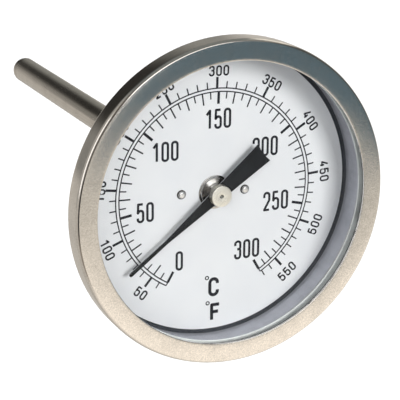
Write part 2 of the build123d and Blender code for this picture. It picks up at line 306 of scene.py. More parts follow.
def material(name, build, **shader):
    """A node material. build(tree, place) returns the inputs that vary over the surface."""
    made = bpy.data.materials.new(name)
    made.use_nodes = True
    tree = made.node_tree
    tree.nodes.clear()
    varying = build(tree, Place(tree))
    principled = add(tree, "BsdfPrincipled", {**shader, **varying})
    output = add(tree, "OutputMaterial")
    tree.links.new(principled.outputs[0], output.inputs[0])
    return made


# Scales of the patterns in a finish, in features to the metre, and the part of a noise's range
# over which each pattern fades in.
CLOUDS = 220.0
STAIN_RANGE = (0.42, 0.72)
SPECKS = 5200.0
SPECK_RANGE = (0.62, 0.74)
SPECKLE = 3300.0
SPECKLE_RANGE = (0.32, 0.68)
STREAK_RANGE = (0.3, 0.7)
STREAK_SHARE = 0.25
SPECK_HEIGHT = -0.3
SPECKLE_HEIGHT = 2.0
PAINT_CLOUDS = 130.0
PAINT_CLOUD_RANGE = (0.35, 0.7)
ROUGH_RANGE = (0.7, 1.3)  # of two noises added together


def metal(
    name, light, dark, rough, lay, stain, relief, radius_mm=37.0, fine=3000.0, grit=0.0, bare=1.0
):
    """Bare or plated metal: tool marks in one lay, cloudy stains, fine scratches.

    light and dark are the clean and the dulled colour, rough the clean and the dulled roughness.
    lay is turned, drawn or grain, and fine its marks to the metre, radius_mm the size of a drawn
    piece. stain and relief are the strengths of the dulling and of the bump, grit that of a fine
    speckle, and bare is how metallic the surface is.
    """

    def build(tree, place):
        if lay == "turned":
            marks = place.turned(fine)
        elif lay == "drawn":
            marks = place.drawn(radius_mm, fine)
        else:
            marks = place.grain(fine, 3.0, 0.7)
        clouds = place.grain(CLOUDS, 5.0, 0.6)
        specks = remap(tree, place.grain(SPECKS, 2.0, 0.6), *SPECK_RANGE)
        dulled = remap(tree, clouds, *STAIN_RANGE, 0.0, stain, smooth=True)
        colour = blend_colours(tree, dulled, light, dark)
        streaks = remap(tree, marks, *STREAK_RANGE, 0.0, STREAK_SHARE)
        colour = blend_colours(tree, streaks, colour, dark)
        colour = blend_colours(tree, maths(tree, "MULTIPLY", specks, stain), colour, dark)
        speckle = remap(tree, place.grain(SPECKLE, 3.0, 0.75), *SPECKLE_RANGE, -grit, grit)
        gain = {0: colour, "Scale": maths(tree, "ADD", speckle, 1.0)}
        colour = add(tree, "VectorMath", gain, operation="SCALE").outputs[0]
        roughness = remap(tree, maths(tree, "ADD", clouds, marks), *ROUGH_RANGE, *rough)
        height = maths(tree, "ADD", marks, maths(tree, "MULTIPLY", specks, SPECK_HEIGHT))
        height = maths(tree, "ADD", height, maths(tree, "MULTIPLY", speckle, SPECKLE_HEIGHT))
        return {
            "Base Color": colour,
            "Roughness": roughness,
            "Normal": bump(tree, height, relief),
        }

    return material(name, build, Metallic=bare)


def coated(name, light, dark, rough, relief, grain=2500.0, **shader):
    """Paint, enamel, rubber or plastic: faint mottling over a fine grain."""

    def build(tree, place):
        fine = place.grain(grain, 3.0, 0.6)
        clouds = place.grain(PAINT_CLOUDS, 5.0, 0.6)
        mottling = remap(tree, clouds, *PAINT_CLOUD_RANGE, smooth=True)
        colour = blend_colours(tree, mottling, light, dark)
        roughness = remap(tree, maths(tree, "ADD", fine, clouds), *ROUGH_RANGE, *rough)
        return {
            "Base Color": colour,
            "Roughness": roughness,
            "Normal": bump(tree, fine, relief),
        }

    return material(name, build, **shader)


GLASS_IOR = 1.2
GLASS_SHINE = 0.2  # the most that the glass reflects
GLASS_CLEAR = (0.99, 0.994, 0.994)
GLASS_ROUGH = (0.015, 0.05)
SMEARS = 60.0
SMEAR_RANGE = (0.3, 0.8)
SMEAR_RELIEF = 0.02
DUST = 4200.0
DUST_RANGE = (0.7, 0.8)
DUST_SHINE = 0.01


def glass(name):
    """Clear window glass that lets lamps through, with a trace of dust and smears."""
    made = bpy.data.materials.new(name)
    made.use_nodes = True
    tree = made.node_tree
    tree.nodes.clear()
    place = Place(tree)
    smear = place.grain(SMEARS, 4.0, 0.6)
    dust = remap(tree, place.grain(DUST, 1.0, 0.5), *DUST_RANGE)
    roughness = remap(tree, smear, *SMEAR_RANGE, *GLASS_ROUGH)
    fresnel = add(tree, "Fresnel", {"IOR": GLASS_IOR}).outputs[0]
    shine = maths(tree, "MINIMUM", fresnel, GLASS_SHINE)
    shine = maths(tree, "ADD", shine, maths(tree, "MULTIPLY", dust, DUST_SHINE))
    normal = bump(tree, smear, SMEAR_RELIEF)
    clear = add(tree, "BsdfTransparent", {"Color": GLASS_CLEAR})
    gloss = add(tree, "BsdfGlossy", {"Roughness": roughness, "Normal": normal})
    both = add(tree, "MixShader", {0: shine, 1: clear.outputs[0], 2: gloss.outputs[0]})
    output = add(tree, "OutputMaterial")
    tree.links.new(both.outputs[0], output.inputs[0])
    return made


# ---------------------------------------------------------------- materials
MATERIALS = {
    "bezel": metal(
        "bezel_steel", (0.80, 0.77, 0.73), (0.52, 0.50, 0.47), (0.05, 0.12), "grain", 0.3, 0.2,
        fine=2600.0, grit=0.12,
    ),
    "case": metal(
        "case_steel", (0.62, 0.60, 0.57), (0.42, 0.40, 0.38), (0.20, 0.32), "turned", 0.3, 0.35
    ),
    "case_inner": metal(
        "case_inner_steel", (0.50, 0.51, 0.565), (0.32, 0.33, 0.37), (0.30, 0.42), "drawn", 0.45,
        0.6, radius_mm=36.5, fine=2200.0, bare=0.35,
    ),
    "stem": metal(
        "stem_steel", (0.66, 0.63, 0.58), (0.45, 0.42, 0.39), (0.17, 0.28), "drawn", 0.3, 0.3,
        radius_mm=3.9, fine=4000.0,
    ),
    "fitting": metal(
        "fitting_steel", (0.64, 0.62, 0.59), (0.42, 0.40, 0.38), (0.16, 0.3), "turned", 0.35, 0.45
    ),
    "support": coated(
        "ring_aluminium", (0.88, 0.91, 0.89), (0.74, 0.77, 0.75), (0.4, 0.5), 0.3
    ),
    "chrome": metal(
        "bushing_chrome", (0.60, 0.59, 0.58), (0.40, 0.39, 0.38), (0.14, 0.22), "turned", 0.3, 0.25
    ),
    "hub": metal(
        "hub_nickel", (0.93, 0.91, 0.85), (0.62, 0.60, 0.54), (0.24, 0.32), "turned", 0.2, 0.5,
        fine=6000.0,
    ),
    # The hub's side in a far darker copy of the same nickel: painted shade on the side of the
    # turned piece.
    "hub_painted_shade": metal(
        "hub_nickel_painted_shade", (0.24, 0.235, 0.22), (0.14, 0.135, 0.125), (0.26, 0.36), "turned", 0.4,
        0.6, fine=6000.0,
    ),
    # Near-black finish for the wall behind the dial and in a band just in front of it: painted
    # shade for the gap between the dial's edge and the wall.
    "case_painted_shade": coated(
        "case_painted_shade", (0.09, 0.10, 0.12), (0.06, 0.067, 0.08), (0.55, 0.7), 0.3, 1800.0
    ),
    "screw": metal(
        "screw_steel", (0.92, 0.92, 0.93), (0.65, 0.65, 0.65), (0.22, 0.32), "grain", 0.3, 0.3
    ),
    "shaft": metal(
        "shaft_steel", (0.22, 0.22, 0.21), (0.12, 0.12, 0.12), (0.2, 0.3), "drawn", 0.3, 0.3,
        radius_mm=0.75,
    ),
    "brass": metal(
        "brass", (0.72, 0.55, 0.27), (0.42, 0.29, 0.13), (0.2, 0.34), "turned", 0.5, 0.4
    ),
    "bimetal": metal(
        "bimetal", (0.52, 0.46, 0.40), (0.34, 0.29, 0.24), (0.3, 0.42), "turned", 0.5, 0.3
    ),
    "dial": coated(
        "dial_white", (0.86, 0.865, 0.88), (0.83, 0.838, 0.86), (0.42, 0.52), 0.12, 2200.0
    ),
    "ink": coated(
        "dial_ink", (0.012, 0.013, 0.018), (0.020, 0.021, 0.028), (0.5, 0.65), 0.2,
        **{"Specular IOR Level": 0.2},
    ),
    "pointer": coated(
        "pointer_black", (0.010, 0.011, 0.013), (0.016, 0.018, 0.021), (0.4, 0.55), 0.35, 3000.0,
        **{"Specular IOR Level": 0.15},
    ),
    "cut_edge": metal(
        "pointer_cut_edge", (0.55, 0.56, 0.58), (0.3, 0.3, 0.32), (0.35, 0.5), "grain", 0.4, 0.3
    ),
    # Black fibre washers round the screws; their dark ring also stands in for the shade round the
    # screw heads, so it is partly painted shade.
    "fibre_and_painted_shade": coated("fibre_washer", (0.03, 0.03, 0.03), (0.06, 0.055, 0.05), (0.6, 0.8), 0.6),
    "rubber": coated(
        "gasket_rubber", (0.018, 0.018, 0.018), (0.035, 0.035, 0.033), (0.55, 0.7), 0.5
    ),
    "plastic": coated("guide_plastic", (0.86, 0.85, 0.82), (0.8, 0.79, 0.75), (0.4, 0.5), 0.3),
    "glass": glass("lens_glass"),
}


def dress_faces(piece, key, chosen):
    """Gives one more material to the faces for which chosen(centre, normal) holds."""
    piece.data.materials.append(MATERIALS[key])
    for face in piece.data.polygons:
        if chosen(face.center / MM, face.normal):
            face.material_index = len(piece.data.materials) - 1


def finish_piece(piece, key, body, slot, *nodes):
    """Dresses a new piece, hangs it on its body and hides the CAD nodes it stands for; slot is not
    used.
    """
    piece.data.materials.append(MATERIALS[key])
    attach(piece, body)
    if nodes:
        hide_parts(*nodes)


# ---------------------------------------------------------------- bezel, case, glass and rings
BEZEL_SHEET = 0.7
BEZEL_LIP_R = 34.9
BEZEL_CROWN = 0.045  # how far the face falls away at its two edges
BEZEL_CROWN_R = 110
BEZEL_FRONT_CORNER_R = 1.2
BEZEL_BACK_CORNER_R = 0.8
BEZEL_LIP_EDGES = (0.14, 0.22)  # outer and inner
BEZEL_HOLLOW_CORNER_R = 0.5
CRIMP_R = 37.9
CRIMP_EDGE = 0.25
CASE_R = 37.05
CASE_SHEET = 0.5
CASE_CORNER_R = 4.0
CASE_FLANGE_CORNER_R = 0.8
CASE_BORE_R = CASE_R - CASE_SHEET
PAINTED_SHADE_BAND = 0.45  # how far in front of the dial the wall is painted near-black, as painted shade of the gap round the dial
NECK_R = 4.6

bezel_r = radius("bezel_ring")
bezel_front, bezel_back = front("bezel_ring"), back("bezel_ring")
case_back = back("case_cup")
flange_r = radius("case_cup")
flange_front = front("case_cup")

bezel = lathe(
    "bezel",
    [
        (CRIMP_R, bezel_back, CRIMP_EDGE),
        (bezel_r, bezel_back, BEZEL_BACK_CORNER_R),
        (bezel_r, bezel_front + BEZEL_CROWN, BEZEL_FRONT_CORNER_R),
        ((bezel_r + BEZEL_LIP_R) / 2, bezel_front, BEZEL_CROWN_R),
        (BEZEL_LIP_R, bezel_front + BEZEL_CROWN, BEZEL_LIP_EDGES[0]),
        (BEZEL_LIP_R, bezel_front + BEZEL_SHEET, BEZEL_LIP_EDGES[1]),
        (bezel_r - BEZEL_SHEET, bezel_front + BEZEL_SHEET, BEZEL_HOLLOW_CORNER_R),
        (bezel_r - BEZEL_SHEET, bezel_back - BEZEL_SHEET, EDGE),
        (CRIMP_R, bezel_back - BEZEL_SHEET, CRIMP_EDGE),
    ],
    step=FINE_ARC_STEP,
)
finish_piece(bezel, "bezel", "case", "bezel_steel", "bezel_ring")

case = lathe(
    "case",
    [
        (NECK_R, case_back, EDGE),
        (CASE_R, case_back, CASE_CORNER_R),
        (CASE_R, flange_front + CASE_SHEET, CASE_FLANGE_CORNER_R),
        (flange_r, flange_front + CASE_SHEET, EDGE),
        (flange_r, flange_front, EDGE),
        (CASE_BORE_R, flange_front, CASE_FLANGE_CORNER_R + CASE_SHEET),
        (CASE_BORE_R, DIAL_Y - PAINTED_SHADE_BAND),
        (CASE_BORE_R, case_back - CASE_SHEET, CASE_CORNER_R - CASE_SHEET),
        (NECK_R, case_back - CASE_SHEET, EDGE),
    ],
    step=FINE_ARC_STEP,
)
finish_piece(case, "case", "case", "case_steel", "case_cup")

WALL_MARGIN = 0.1  # a face this little outside the bore is still on its wall
LEAST_BACKWARD = 0.01  # a normal's y above this faces backwards


def inside_case(at, normal):
    return hypot(at.x, at.z) < CASE_BORE_R + WALL_MARGIN and normal.y < LEAST_BACKWARD


# Faces of the wall behind the dial or in the band in front of it, which get the painted shade.
def behind_dial(at, normal):
    return inside_case(at, normal) and at.y > DIAL_Y - PAINTED_SHADE_BAND


dress_faces(case, "case_inner", inside_case)
dress_faces(case, "case_painted_shade", behind_dial)

glass_r = radius("lens")
glass_front, glass_back = front("lens"), back("lens")
window = lathe(
    "window",
    [
        (0, glass_front),
        (glass_r, glass_front, SOFT_EDGE),
        (glass_r, glass_back, SOFT_EDGE),
        (0, glass_back),
    ],
)
finish_piece(window, "glass", "case", "glass", "lens")

GASKET_INNER_R = 35.05
GASKET_BULGE = 0.12
gasket_front, gasket_back = front("lens_gasket"), back("lens_gasket")
gasket = lathe(
    "gasket",
    [
        (GASKET_INNER_R, gasket_front, GASKET_BULGE),
        (radius("lens_gasket"), gasket_front, GASKET_BULGE),
        (radius("lens_gasket"), gasket_back, GASKET_BULGE),
        (GASKET_INNER_R, gasket_back, GASKET_BULGE),
    ],
)
finish_piece(gasket, "rubber", "case", "gasket_rubber", "lens_gasket")

SUPPORT_INNER_R = 35.2
SUPPORT_SHEET = 0.6
SUPPORT_CORNER_R = 0.8
support_r = radius("lens_support_ring")
support_front, support_back = front("lens_support_ring"), back("lens_support_ring")
support = lathe(
    "support_ring",
    [
        (SUPPORT_INNER_R, support_front, SOFT_EDGE),
        (support_r, support_front, SUPPORT_CORNER_R),
        (support_r, support_back, EDGE),
        (support_r - SUPPORT_SHEET, support_back, EDGE),
        (support_r - SUPPORT_SHEET, support_front + SUPPORT_SHEET, SOFT_EDGE),
        (SUPPORT_INNER_R, support_front + SUPPORT_SHEET, SOFT_EDGE),
    ],
)
finish_piece(support, "support", "case", "ring_aluminium", "lens_support_ring")

# ---------------------------------------------------------------- screws, washers and bushing
SCREW_PLACES = (("left", (-8.85, 0.4)), ("right", (8.1, -0.25)))  # (across, up)
SCREW_R = 0.6
SCREW_NECK_EDGE = 0.02
HEAD_R = 0.9
HEAD_DOME_R = 0.42
WASHER_R = 1.15
WASHER_HOLE_R = 0.62
WASHER_FACE_EDGE = 0.08
WASHER_EDGE = 0.04
washer_front = front("dial_washers")
head_front = front("dial_screws")
screw_tip = back("dial_screws")
for side, place in SCREW_PLACES:
    washer = lathe(
        "washer_" + side,
        [
            (WASHER_HOLE_R, washer_front, WASHER_EDGE),
            (WASHER_R, washer_front, WASHER_FACE_EDGE),
            (WASHER_R, DIAL_Y, WASHER_EDGE),
            (WASHER_HOLE_R, DIAL_Y, WASHER_EDGE),
        ],
        SMALL_SEGMENTS,
        place,
    )
    screw = lathe(
        "screw_" + side,
        [
            (0, head_front),
            (HEAD_R, head_front, HEAD_DOME_R),
            (HEAD_R, washer_front, CRISP_EDGE),
            (SCREW_R, washer_front, SCREW_NECK_EDGE),
            (SCREW_R, screw_tip, EDGE),
            (0, screw_tip),
        ],
        SMALL_SEGMENTS,
        place,
    )
    # The washer is black fibre and partly painted shade round the screw head.
    finish_piece(washer, "fibre_and_painted_shade", "case", "fibre_washer", "dial_washers")
    finish_piece(screw, "screw", "case", "screw_steel", "dial_screws")

BUSHING_TOP_R = 1.9
BUSHING_SHOULDER_R = 2.65
BUSHING_SHOULDER_DEPTH = 0.57  # behind the top
BUSHING_SHOULDER_CURVE_R = 0.25
BUSHING_DOME_R = 3.7
BUSHING_DOME_FOOT = 0.2  # height of the steep foot of the dome
BUSHING_DOME_LEAN = 0.1  # how far the foot leans in
BUSHING_FLANGE_THICKNESS = 0.25
BUSHING_FLANGE_EDGE = 0.12
BUSHING_NECK_R = 2.25
BEARING_R = 1.5
BEARING_EDGE = 0.08
bushing_r = radius("centre_bushing")
bushing_top = front("centre_bushing")
bushing_back = back("centre_bushing")
flange_top = DIAL_Y - BUSHING_FLANGE_THICKNESS
bushing = lathe(
    "bushing",
    [
        (BEARING_R, bushing_top, BEARING_EDGE),
        (BUSHING_TOP_R, bushing_top, SOFT_EDGE),
        (BUSHING_SHOULDER_R, bushing_top + BUSHING_SHOULDER_DEPTH, BUSHING_SHOULDER_CURVE_R),
        (BUSHING_DOME_R - BUSHING_DOME_LEAN, flange_top - BUSHING_DOME_FOOT, SOFT_EDGE),
        (BUSHING_DOME_R, flange_top, CRISP_EDGE),
        (bushing_r, flange_top, BUSHING_FLANGE_EDGE),
        (bushing_r, DIAL_Y),
        (BUSHING_NECK_R, DIAL_Y),
        (BUSHING_NECK_R, bushing_back, EDGE),
        (BEARING_R, bushing_back, CRISP_EDGE),
    ],
    MEDIUM_SEGMENTS,
)
finish_piece(bushing, "chrome", "case", "bushing_chrome", "centre_bushing")

# ---------------------------------------------------------------- fitting with its helical thread
PITCH = 1.814
THREAD_R = 10.67
THREAD_DEPTH = 1.25
THREAD_TAPER = 1 / 32
THREAD_LENGTH = 18.14
THREAD_FADE_IN = 0.6  # pitches over which the ridge rises at the hex
THREAD_FADE_OUT = 1.1  # and sinks at the nose
RIDGE_START = 0.12  # the ridge's corners, as shares of the pitch
CREST_START = 0.5
CREST_END = 0.62
RIDGE_FLANK = 0.38
ROWS_PER_TURN = 16
ACROSS_FLATS = 22.2
CHAMFER_R = ACROSS_FLATS / 2 * 1.01  # where the flats start to be turned off
CHAMFER_SLOPE = 0.5
CHAMFER_LEAST = 0.05
HEX_BEVEL = 0.75  # degrees from a corner to the flat beside it
ROWS_PER_FLAT = 24
FITTING_BEVEL = 0.3
STEM_SEAT_R = 3.6
CASE_GASKET_THICKNESS = 0.5
hex_front = case_back + CASE_GASKET_THICKNESS
nose = back("process_fitting")
neck_front = front("process_fitting")
tube_front = front("stem_tube")


def ridge(share):
    """Height of the thread's ridge, 0 to 1, over one pitch."""
    if share < RIDGE_START:
        return 0.0
    if share < CREST_START:
        return (share - RIDGE_START) / RIDGE_FLANK
    if share < CREST_END:
        return 1.0
    return (1.0 - share) / RIDGE_FLANK


def fitting_outline(angle):
    """The fitting's (radius, y) loop at one clock angle, from the neck's front to its bore."""
    off_flat = (angle + pi / 6) % (pi / 3) - pi / 6
    flat_r = ACROSS_FLATS / 2 / cos(off_flat)
    lost = max(CHAMFER_LEAST, (flat_r - CHAMFER_R + EDGE) * CHAMFER_SLOPE)
    outline = [
        (NECK_R - FITTING_BEVEL, neck_front),
        (NECK_R, neck_front + FITTING_BEVEL),
        (NECK_R, hex_front),
        (CHAMFER_R - EDGE, hex_front),
        (flat_r, hex_front + lost),
        (flat_r, -lost),
        (CHAMFER_R - EDGE, 0),
        (THREAD_R - THREAD_DEPTH, 0),
    ]
    rows = ceil(THREAD_LENGTH / PITCH * ROWS_PER_TURN)
    turned = angle / FULL_TURN
    for k in range(1, rows + 1):
        y = THREAD_LENGTH * k / rows
        crest = THREAD_R - y * THREAD_TAPER
        rise = y / (THREAD_FADE_IN * PITCH)
        sink = (THREAD_LENGTH - y) / (THREAD_FADE_OUT * PITCH)
        fade = min(1, rise, sink)
        height = ridge((y / PITCH + turned) % 1) * max(0, fade)
        outline.append((crest - THREAD_DEPTH * (1 - height), y))
    end_r = THREAD_R - THREAD_LENGTH * THREAD_TAPER - THREAD_DEPTH
    return outline + [
        (end_r, nose - FITTING_BEVEL),
        (end_r - FITTING_BEVEL, nose),
        (STEM_SEAT_R + SOFT_EDGE, nose),
        (STEM_SEAT_R, nose - SOFT_EDGE),
        (STEM_SEAT_R, tube_front),
        (BUSHING_NECK_R, tube_front),
        (BUSHING_NECK_R, neck_front),
    ]


FITTING_SHARP = 28
hex_angles = []
for flat in range(6):
    for k in range(ROWS_PER_FLAT + 1):
        off = -30 + HEX_BEVEL + (60 - 2 * HEX_BEVEL) * k / ROWS_PER_FLAT
        hex_angles.append(radians(flat * 60 + off))
fitting = turn_about_stem("fitting", fitting_outline, hex_angles, sharp=FITTING_SHARP)
finish_piece(fitting, "fitting", "case", "fitting_steel", "process_fitting")

# ---------------------------------------------------------------- stem
stem_r = radius("stem_tube")
stem_tip = back("stem_plug")
plug_front = back("stem_tube")
STEM_BORE_R = 3.2
STEM_STEP_EDGE = 0.15
SEAM_DEPTH = 0.06  # of the groove where the plug is welded into the tube
SEAM_FRONT = (0.35, 0.2)  # its front slope's ends, in front of the plug
SEAM_BACK = (0.15, 0.3)  # its back slope's ends, behind the plug's face
seam_r = stem_r - SEAM_DEPTH
stem = lathe(
    "stem",
    [
        (STEM_BORE_R, tube_front, CRISP_EDGE),
        (STEM_SEAT_R, tube_front, EDGE),
        (STEM_SEAT_R, nose),
        (stem_r, nose, STEM_STEP_EDGE),
        (stem_r, plug_front - SEAM_FRONT[0], EDGE),
        (seam_r, plug_front - SEAM_FRONT[1], EDGE),
        (seam_r, plug_front),
        (STEM_BORE_R, plug_front),
    ],
    MEDIUM_SEGMENTS,
)
finish_piece(stem, "stem", "case", "stem_steel", "stem_tube")

PIVOT_R = 0.8
PIVOT_DEPTH = 2.0
STEM_END_R = 2.2
STEM_END_ARC_STEP = 6
spigot = front("stem_plug")
stem_end = lathe(
    "stem_end",
    [
        (0, spigot + PIVOT_DEPTH),
        (PIVOT_R, spigot + PIVOT_DEPTH),
        (PIVOT_R, spigot),
        (STEM_BORE_R, spigot),
        (STEM_BORE_R, plug_front),
        (seam_r, plug_front),
        (seam_r, plug_front + SEAM_BACK[0], EDGE),
        (stem_r, plug_front + SEAM_BACK[1], EDGE),
        (stem_r, stem_tip, STEM_END_R),
        (0, stem_tip),
    ],
    MEDIUM_SEGMENTS,
    step=STEM_END_ARC_STEP,
)
finish_piece(stem_end, "stem", "case", "stem_steel", "stem_plug")

# ---------------------------------------------------------------- pointer and hub
REST_ANGLE = -127.3  # of the tip, clockwise from 12 o'clock
TIP_LENGTH = 29.3
TAIL_LENGTH = 15.3
TIP_HALF = 0.5
TAIL_HALF = 2.8
TAIL_NOTCH = 0.5
TAPER_START = 17.0
BLADE_BEVEL = 0.07
BLADE_SHARP = 20
TIP_POINTS = 12
BORE_POINTS = 48
HUB_BOSS_R = 1.5
blade_front, blade_back = front("pointer_blade"), back("pointer_blade")


def blade_outline(inset):
    """The blade's outer (across, along) loop, drawn in by the inset."""
    half_tail = TAIL_HALF - inset
    half_tip = TIP_HALF - inset
    start = -TAIL_LENGTH + inset
    loop = [(half_tail, start), (0, start + TAIL_NOTCH), (-half_tail, start)]
    loop.append((-half_tip, TAPER_START))
    tip_centre = TIP_LENGTH - TIP_HALF
    for k in range(TIP_POINTS + 1):
        a = pi - pi * k / TIP_POINTS
        loop.append((half_tip * cos(a), tip_centre + half_tip * sin(a)))
    loop.append((half_tip, TAPER_START))
    return loop


def make_blade():
    """The flat blade with softened edges and the round hole that the hub's boss fills."""
    turn = radians(REST_ANGLE)
    bm = bmesh.new()

    def corner(across, along, y):
        x = across * cos(turn) + along * sin(turn)
        z = along * cos(turn) - across * sin(turn)
        return bm.verts.new((x * MM, y * MM, z * MM))

    bore_angles = [FULL_TURN * k / BORE_POINTS for k in range(BORE_POINTS)]
    hole = [(HUB_BOSS_R * cos(a), HUB_BOSS_R * sin(a)) for a in bore_angles]
    outer = []
    for inset, y in (
        (BLADE_BEVEL, blade_front),
        (0, blade_front + BLADE_BEVEL),
        (0, blade_back - BLADE_BEVEL),
        (BLADE_BEVEL, blade_back),
    ):
        outer.append([corner(u, v, y) for u, v in blade_outline(inset)])
    inner = [[corner(u, v, y) for u, v in hole] for y in (blade_front, blade_back)]
    for low, high in zip(outer, outer[1:]):
        for i in range(len(low)):
            k = (i + 1) % len(low)
            bm.faces.new((low[i], low[k], high[k], high[i]))
    for i in range(len(hole)):
        k = (i + 1) % len(hole)
        bm.faces.new((inner[0][i], inner[0][k], inner[1][k], inner[1][i]))
    for rim, bore in ((outer[0], inner[0]), (outer[-1], inner[1])):
        edges = []
        for loop in (rim, bore):
            for i in range(len(loop)):
                pair = (loop[i], loop[(i + 1) % len(loop)])
                edges.append(bm.edges.get(pair) or bm.edges.new(pair))
        bmesh.ops.triangle_fill(bm, use_beauty=True, use_dissolve=False, edges=edges)
    return link_mesh("pointer", bm, BLADE_SHARP)


EDGE_FACING = 0.3  # a blade face whose normal leans less than this to the front is its cut edge
SIDE_FACING = 0.5  # and a hub face its side

blade = make_blade()
finish_piece(blade, "pointer", "movement", "pointer_black", "pointer_blade")
dress_faces(blade, "cut_edge", lambda at, normal: abs(normal.y) < EDGE_FACING)

hub_r = radius("pointer_hub")
hub_front, hub_back = front("pointer_hub"), back("pointer_hub")
SHAFT_R = 0.75
SHAFT_END_R = 0.45
SHAFT_STEP = 0.7  # behind the hub's face
SHAFT_CHAMFER = 0.15
SHAFT_DIMPLE = 0.3  # depth of the centre mark in the shaft's end
SHAFT_END_BEVEL = (0.05, 0.02)  # across and along
SHAFT_END_EDGE = 0.02
HUB_SHARP = 30
HUB_EDGE = 0.12
HUB_BACK_EDGE = 0.06
HUB_FACE_DISH = 0.01  # how far the face falls away at its edge
HUB_MOUTH = (0.06, 0.07)  # the countersink round the shaft's end: across and deep
HUB_MOUTH_EDGES = (0.03, 0.02)
GROOVE_DEPTH = 0.16
GROOVE_PITCH = 0.6
GROOVE_WALLS = (0.0, 0.02, 0.13, 0.15)  # of the corners behind the groove's front
GROOVE_EDGE = 0.01
hub_corners = [
    (SHAFT_END_R, hub_front + HUB_MOUTH[1], HUB_MOUTH_EDGES[1]),
    (SHAFT_END_R + HUB_MOUTH[0], hub_front, HUB_MOUTH_EDGES[0]),
    (hub_r, hub_front + HUB_FACE_DISH, HUB_EDGE),
]
groove_r = hub_r - GROOVE_DEPTH
for groove in (1, 2):
    y = hub_front + GROOVE_PITCH * groove
    for r, offset in zip((hub_r, groove_r, groove_r, hub_r), GROOVE_WALLS):
        hub_corners.append((r, y + offset, GROOVE_EDGE))
hub_corners += [
    (hub_r, blade_front, HUB_BACK_EDGE),
    (HUB_BOSS_R, blade_front),
    (HUB_BOSS_R, hub_back),
    (SHAFT_R, hub_back),
    (SHAFT_R, hub_front + SHAFT_STEP),
    (SHAFT_END_R, hub_front + SHAFT_STEP),
]
hub = lathe("hub", hub_corners, MEDIUM_SEGMENTS, sharp=HUB_SHARP)
finish_piece(hub, "hub", "movement", "hub_nickel", "pointer_hub")
# The side faces get the darker copy of the nickel, as painted shade.
dress_faces(hub, "hub_painted_shade", lambda at, normal: abs(normal.y) < SIDE_FACING)

shaft_front, shaft_back = front("pointer_shaft"), back("pointer_shaft")
shaft = lathe(
    "shaft",
    [
        (0, shaft_front + SHAFT_DIMPLE),
        (SHAFT_END_R - SHAFT_END_BEVEL[0], shaft_front, SHAFT_END_EDGE),
        (SHAFT_END_R, shaft_front + SHAFT_END_BEVEL[1]),
        (SHAFT_END_R, hub_front + SHAFT_STEP),
        (SHAFT_R, hub_front + SHAFT_STEP),
        (SHAFT_R, shaft_back - SHAFT_CHAMFER),
        (SHAFT_R - SHAFT_CHAMFER, shaft_back),
        (0, shaft_back),
    ],
    SHAFT_SEGMENTS,
)
finish_piece(shaft, "shaft", "movement", "shaft_steel", "pointer_shaft")

# ---------------------------------------------------------------- scale printed on the dial
INK = 0.03  # how far the print stands proud
INK_ROOT = 0.02  # how far it reaches into the plate
INK_STEP = 0.001  # between the heights of strips that cross
INK_LEVELS = 5
# (degrees C, clock angle): the scale is even between these.
KNOTS = ((0, -150.2), (60, -88.0), (160, 12.0), (210, 64.6), (255, 108.6), (300, 150.2))
CELSIUS_TOP = 300
FAHRENHEIT_RANGE = (40, 570)
CELSIUS_ARC_R = 25.0
FAHRENHEIT_ARC_R = 25.83
ARC_WIDTH = 0.3
ARC_POINTS = 300
# (every so many degrees, far radius, width), coarsest first
CELSIUS_TICKS = ((50, 22.0, 0.66), (10, 22.1, 0.36), (5, 23.25, 0.32))
FAHRENHEIT_TICKS = ((50, 28.6, 0.62), (10, 27.5, 0.32))


def dial_angle(celsius):
    """Clock angle of a temperature on the dial, in radians."""
    spans = zip(KNOTS, KNOTS[1:])
    (t0, a0), (t1, a1) = next(span for span in spans if celsius <= span[1][0])
    return radians(a0 + (a1 - a0) * (celsius - t0) / (t1 - t0))


def celsius_from(fahrenheit):
    return (fahrenheit - 32) / 1.8


def at(r, angle):
    """The dial point at a radius and a clock angle."""
    return Vector((r * sin(angle), r * cos(angle)))


def print_piece(name, strips):
    """One printed piece from (path, width, closed) strips.

    Strips made one after another lie a hair apart in height, so where they cross no two faces
    share a plane.
    """
    bm = bmesh.new()
    for i, (path, width, closed) in enumerate(strips):
        top = DIAL_Y - INK - INK_STEP * (i % INK_LEVELS)
        ribbon(bm, path, width, top, DIAL_Y + INK_ROOT, closed)
    finish_piece(link_mesh(name, bm), "ink", "case", "dial_ink")


def arc_strip(r):
    start, end = dial_angle(0), dial_angle(CELSIUS_TOP)
    path = [at(r, start + (end - start) * k / ARC_POINTS) for k in range(ARC_POINTS + 1)]
    return path, ARC_WIDTH, False


def tick(angle, r0, r1, width):
    return [at(r0, angle), at(r1, angle)], width, False


def tick_size(degrees, sizes):
    """The far radius and the width of the coarsest tick that the reading has."""
    return next((r, width) for every, r, width in sizes if degrees % every == 0)


celsius_scale = [arc_strip(CELSIUS_ARC_R)]
for degrees_c in range(0, CELSIUS_TOP + 1, CELSIUS_TICKS[-1][0]):
    far_r, width = tick_size(degrees_c, CELSIUS_TICKS)
    celsius_scale.append(tick(dial_angle(degrees_c), far_r, CELSIUS_ARC_R, width))
print_piece("scale_celsius", celsius_scale)

fahrenheit_scale = [arc_strip(FAHRENHEIT_ARC_R)]
for end in (0, CELSIUS_TOP):
    fahrenheit_scale.append(tick(dial_angle(end), CELSIUS_ARC_R, FAHRENHEIT_ARC_R, ARC_WIDTH))
for degrees_f in range(FAHRENHEIT_RANGE[0], FAHRENHEIT_RANGE[1] + 1, FAHRENHEIT_TICKS[-1][0]):
    far_r, width = tick_size(degrees_f, FAHRENHEIT_TICKS)
    angle = dial_angle(celsius_from(degrees_f))
    fahrenheit_scale.append(tick(angle, FAHRENHEIT_ARC_R, far_r, width))
print_piece("scale_fahrenheit", fahrenheit_scale)

